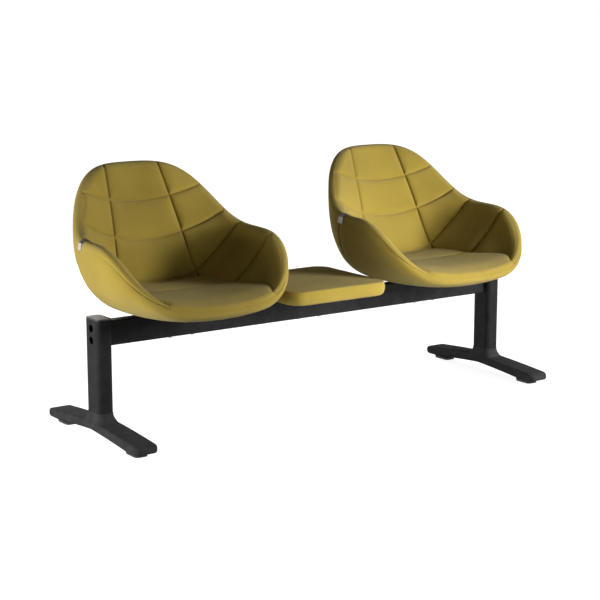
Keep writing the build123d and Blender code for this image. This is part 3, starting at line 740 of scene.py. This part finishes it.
def table_points():
    """Closed grid of the table's pad from the middle of its top to the middle below."""
    low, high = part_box("table_pad")
    half = (high.x - low.x) / 2
    middle = np.array([(low.x + high.x) / 2, (low.y + high.y) / 2])
    outline = square_outline(half, table_corner, table_around)
    rings = []
    for share in np.linspace(hub_share, 1, table_top_steps)[:-1]:
        inset = outline * (1 - table_edge / half) * share
        rings.append((inset, high.z - table_crown * share**table_crown_power))
    for turn in np.radians(np.linspace(0, 90, table_edge_steps)):
        inset = 1 - table_edge * (1 - np.sin(turn)) / half
        rings.append((outline * inset, high.z - table_crown - table_edge * (1 - np.cos(turn))))
    side_top, side_low = high.z - table_crown - table_edge, low.z + table_foot_rise
    for share in np.linspace(0, 1, table_side_steps)[1:]:
        bulge = table_bulge * np.sin(np.pi * share) - table_foot_tuck * share
        rings.append((outline * (1 + bulge / half), side_top + (side_low - side_top) * share))
    for share in (*table_under_shares, hub_share):
        rise = table_under_rise if share == table_under_shares[0] else 0.0
        rings.append((outline * share, low.z + rise))
    grid = [np.column_stack([ring + middle, np.full(len(ring), z)]) for ring, z in rings]
    return np.stack(grid, 1)


table_shape = filled(table_points(), table_fill_cap)
dress(grid_object("table_pad_cover", table_shape, caps=(0, -1)), ["table_pad"])


# Cast feet: a wide arched bar with a collar under the column, bored for the bolts and the glides' studs
def foot_ring(half_width, low, high, edge):
    """Points round a rounded section of the foot, as across and height."""
    points = []
    for across, up, start in ((1, 1, 0), (-1, 1, 90), (-1, -1, 180), (1, -1, 270)):
        turn = np.radians(np.linspace(start, start + 90, corner_steps))
        middle_height = (high - edge) if up > 0 else (low + edge)
        x = across * (half_width - edge) + edge * np.cos(turn)
        points.append(np.stack([x, middle_height + edge * np.sin(turn)], -1))
    return np.concatenate(points)


def foot_bar_points():
    """Grid of the arched bar from the rear nose to the front one."""
    straight = np.linspace(0, foot_reach - foot_nose, foot_steps)
    rounded = foot_reach - foot_nose + foot_nose * np.sin(np.radians(np.linspace(0, 90, corner_steps)))[1:]
    reach = np.concatenate([straight, rounded])
    stations = np.concatenate([reach[:0:-1], -reach])
    rings = []
    for y in stations:
        share = abs(y) / foot_glide_reach
        high = foot_top - foot_top_fall * share**foot_top_power
        low = foot_arch_top - foot_arch_fall * min(share, 1) ** foot_arch_power
        past = max(abs(y) - (foot_reach - foot_nose), 0) / foot_nose
        shrink = 1 - np.sqrt(max(1 - past * past, 0))
        half_height = (high - low) / 2
        nip = shrink * (half_height - foot_nose_half_height)
        edge = min(foot_edge, half_height - nip - foot_least_flat)
        ring = foot_ring(foot_half_width - shrink * foot_nose_side, low + nip, high - nip, edge)
        rings.append(np.stack([ring[:, 0], np.full(len(ring), y), ring[:, 1]], -1))
    return np.stack(rings, 1)


def foot_collar_points():
    """Grid of the collar, from inside the bar up to the column's footprint."""
    rings = []
    for share in np.concatenate([[0], np.linspace(0, 1, collar_steps)]):
        flare = (1 - share) ** collar_flare_power
        height = collar_low + (collar_high - collar_low) * share if rings else collar_low - collar_sunk
        half_x, half_y = collar_half_x + collar_flare_x * flare, collar_half_y + collar_flare_y * flare
        ring = foot_ring(half_x, -half_y, half_y, collar_corner)
        rings.append(np.column_stack([ring, np.full(len(ring), height)]))
    return np.stack(rings, 1)


def stepped_bore(y, steps):
    """Grid of a round cutter that stands at y along the foot; steps are pairs of radius and height."""
    turn = np.radians(np.arange(bore_sides) * 360 / bore_sides)
    rings = []
    for r, z in steps:
        rings.append(np.stack([r * np.cos(turn), y + r * np.sin(turn), np.full(bore_sides, z)], -1))
    return np.stack(rings, 1)


def closed_grid(name, points):
    """A closed piece with its faces turned outward."""
    piece = grid_object(name, points, caps=(0, -1))
    shape = bmesh.new()
    shape.from_mesh(piece.data)
    bmesh.ops.recalc_face_normals(shape, faces=shape.faces)
    shape.to_mesh(piece.data)
    shape.free()
    return piece


def foot_mesh():
    """The bar and collar as one casting, with its bores cut."""
    casting = closed_grid("foot_casting", foot_bar_points())
    steps = [("UNION", closed_grid("foot_collar", foot_collar_points()))]
    bolt = (bolt_reach, bolt_head_bore, bolt_head_seat, bolt_bore, collar_high + bore_overrun)
    stud = (foot_glide_reach, stud_collar_bore, stud_collar_top, stud_bore, stud_bore_top)
    for way in (-1, 1):
        for y, wide, seat, narrow, end in (bolt, stud):
            profile = [(wide, -bore_overrun), (wide, seat), (narrow, seat), (narrow, end)]
            steps.append(("DIFFERENCE", closed_grid("foot_bore", stepped_bore(way * y, profile))))
    for operation, tool in steps:
        change = casting.modifiers.new(operation, "BOOLEAN")
        change.operation = operation
        change.object = tool
        change.solver = "EXACT"
    bpy.context.view_layer.update()
    shaped = bpy.data.meshes.new_from_object(casting.evaluated_get(bpy.context.evaluated_depsgraph_get()))
    for spare in [casting] + [tool for _, tool in steps]:
        bpy.data.meshes.remove(spare.data)
    return shaped


casting_mesh = foot_mesh()
casting_mesh.shade_smooth()
casting_mesh.set_sharp_from_angle(angle=casting_sharp_angle)
for side in ("left", "right"):
    foot_low, foot_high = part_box(f"{side}_foot")
    mesh = casting_mesh.copy()
    mesh.transform(Matrix.Translation(((foot_low.x + foot_high.x) / 2, beam_y, 0)))
    mesh.materials.clear()
    mesh.materials.append(finishes["black_casting"])
    piece = bpy.data.objects.new(f"{side}_foot_casting", mesh)
    bpy.context.scene.collection.objects.link(piece)
    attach(piece, "frame")
    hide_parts(f"{side}_foot")


# Blank tag sewn into the left side's seam at the rim, dark where it folds over and pale below
def tag_strip(name, centre, start, end, material):
    """A thin curved strip over the rim between two lengths along it, from inside the crest outward."""
    section_angle = np.full(1, -side_seam_top)
    outside, _, _ = leans(section_angle)
    over = roll_arc(section_angle, np.full(1, tag_inside), -outside, cover_roll_steps)[0]
    wall = outer_wall(section_angle, tag_wall_steps)[0][::-1]
    path = np.concatenate([over, wall[1:]])
    length = np.concatenate([[0], np.cumsum(np.linalg.norm(np.diff(path, axis=0), axis=1))])
    stops = np.linspace(start, end, tag_steps)
    r, z = np.interp(stops, length, path[:, 0]), np.interp(stops, length, path[:, 1])
    way = np.stack([np.gradient(r), np.gradient(z)], -1)
    way /= np.linalg.norm(way, axis=1, keepdims=True)
    out = np.stack([-way[:, 1], way[:, 0]], -1)
    turn = np.radians(-side_seam_top)
    lines = []
    tag_outside = tag_gap + tag_thickness
    for lift, hand in ((tag_gap, -1), (tag_gap, 1), (tag_outside, 1), (tag_outside, -1)):
        edge = hand * tag_width / 2
        reach, height = r + out[:, 0] * lift, z + out[:, 1] * lift
        across = reach * np.sin(turn) + edge * np.cos(turn)
        along = reach * np.cos(turn) - edge * np.sin(turn)
        lines.append(np.stack([centre + across, beam_y + along, height], -1))
    piece = closed_grid(name, np.stack(lines))
    piece.data.shade_flat()
    piece.data.materials.append(material)
    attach(piece, "frame")


dark_label = plain_grain("tag_dark", (0.012, 0.011, 0.011), (0.022, 0.020, 0.020), roughness=0.8, scale=900)
pale_label = plain_grain("tag_pale", (0.34, 0.30, 0.28), (0.44, 0.40, 0.38), roughness=0.8, scale=900)
for side, centre in seat_centres.items():
    tag_fold = tag_start + tag_dark
    tag_strip(f"{side}_tag_dark", centre, tag_start, tag_fold, dark_label)
    tag_strip(f"{side}_tag_pale", centre, tag_fold, tag_fold + tag_pale, pale_label)

# Camera where the photo was taken from
camera_place = Vector((-3.088, -4.345 + beam_y, 1.396))
camera_azimuth = radians(-35.08)
camera_tilt = radians(11.06)
camera_lens = 95.49
camera_sensor = 36
camera_far = 100
camera = bpy.data.objects.new("camera", bpy.data.cameras.new("camera"))
bpy.context.scene.collection.objects.link(camera)
camera.data.sensor_width = camera_sensor
camera.data.lens = camera_lens
camera.location = camera_place
looking_back = Vector(
    (sin(camera_azimuth) * cos(camera_tilt), -cos(camera_azimuth) * cos(camera_tilt), sin(camera_tilt))
)
camera.rotation_euler = (-looking_back).to_track_quat("-Z", "Y").to_euler()
camera.data.clip_end = camera_far
bpy.context.scene.camera = camera


def seen_directly(tree):
    """One for rays that see the pale backdrop: from the camera, in gloss and through glass."""
    path = tree.nodes.new("ShaderNodeLightPath")
    mirrored = tree.nodes.new("ShaderNodeMath")
    together = tree.nodes.new("ShaderNodeMath")
    together.use_clamp = True
    tree.links.new(path.outputs["Is Glossy Ray"], mirrored.inputs[0])
    tree.links.new(path.outputs["Is Transmission Ray"], mirrored.inputs[1])
    tree.links.new(mirrored.outputs["Value"], together.inputs[0])
    tree.links.new(path.outputs["Is Camera Ray"], together.inputs[1])
    return together.outputs["Value"]


# Floor, background and light; the floor shows white to the camera, and a little greyer under the unit
floor_half = 30
floor_grey = 0.4
floor_under = 0.88
under_scale = 0.3
under_end = 0.6
around_strength = 0.08
backdrop_strength = 1.0
floor = bpy.data.objects.new("floor", bpy.data.meshes.new("floor"))
floor_corners = [(x * floor_half, y * floor_half, 0) for x, y in ((-1, -1), (1, -1), (1, 1), (-1, 1))]
floor.data.from_pydata(floor_corners, [], [(0, 1, 2, 3)])
bpy.context.scene.collection.objects.link(floor)
pale, pale_tree, pale_shader = new_material("pale_floor", (floor_grey,) * 3, roughness=0.9)
spot = pale_tree.nodes.new("ShaderNodeTexGradient")
spot.gradient_type = "SPHERICAL"
spot_place = pale_tree.nodes.new("ShaderNodeTexCoord")
spot_size = pale_tree.nodes.new("ShaderNodeMapping")
spot_size.inputs["Scale"].default_value = (under_scale,) * 3
pale_tree.links.new(spot_place.outputs["Object"], spot_size.inputs["Vector"])
pale_tree.links.new(spot_size.outputs["Vector"], spot.inputs["Vector"])
glow = ramp(pale_tree, spot, (1.0, 1.0, 1.0), (floor_under,) * 3, start=0.0, end=under_end)
pale_tree.links.new(glow.outputs["Color"], pale_shader.inputs["Emission Color"])
pale_tree.links.new(seen_directly(pale_tree), pale_shader.inputs["Emission Strength"])
floor.data.materials.append(pale)

world = bpy.data.worlds.new("studio")
bpy.context.scene.world = world
world.use_nodes = True
around_light = world.node_tree.nodes["Background"]
around_light.inputs["Color"].default_value = (1, 1, 1, 1)
around_light.inputs["Strength"].default_value = around_strength
backdrop = world.node_tree.nodes.new("ShaderNodeBackground")
backdrop.inputs["Color"].default_value = (1, 1, 1, 1)
backdrop.inputs["Strength"].default_value = backdrop_strength
shown = world.node_tree.nodes.new("ShaderNodeMixShader")
sky_links = world.node_tree.links
sky_links.new(seen_directly(world.node_tree), shown.inputs["Fac"])
sky_links.new(around_light.outputs["Background"], shown.inputs[1])
sky_links.new(backdrop.outputs["Background"], shown.inputs[2])
sky_links.new(shown.outputs["Shader"], world.node_tree.nodes["World Output"].inputs["Surface"])


def lamp(name, place, aim, size, watts, spread=180):
    """A square soft light, with its spread in degrees."""
    light = bpy.data.lights.new(name, "AREA")
    light.energy = watts
    light.size = size
    light.spread = radians(spread)
    holder = bpy.data.objects.new(name, light)
    bpy.context.scene.collection.objects.link(holder)
    holder.location = place
    holder.rotation_euler = (Vector(aim) - Vector(place)).to_track_quat("-Z", "Y").to_euler()


lamp("key", (2.0, -2.4, 1.10), aim=(0.4, 0, 0.6), size=0.8, watts=140)
lamp("side", (-2.3, -0.10, 0.45), aim=(-0.85, -0.05, 0.5), size=0.6, watts=38)
lamp("low", (0.05, -1.9, 0.36), aim=(0.16, -0.1, 0.45), size=0.4, watts=1.5, spread=42)
lamp("behind", (0.3, 3.0, 0.55), aim=(0, 0, 0.55), size=1.0, watts=45)

bpy.context.scene.view_settings.view_transform = "Standard"
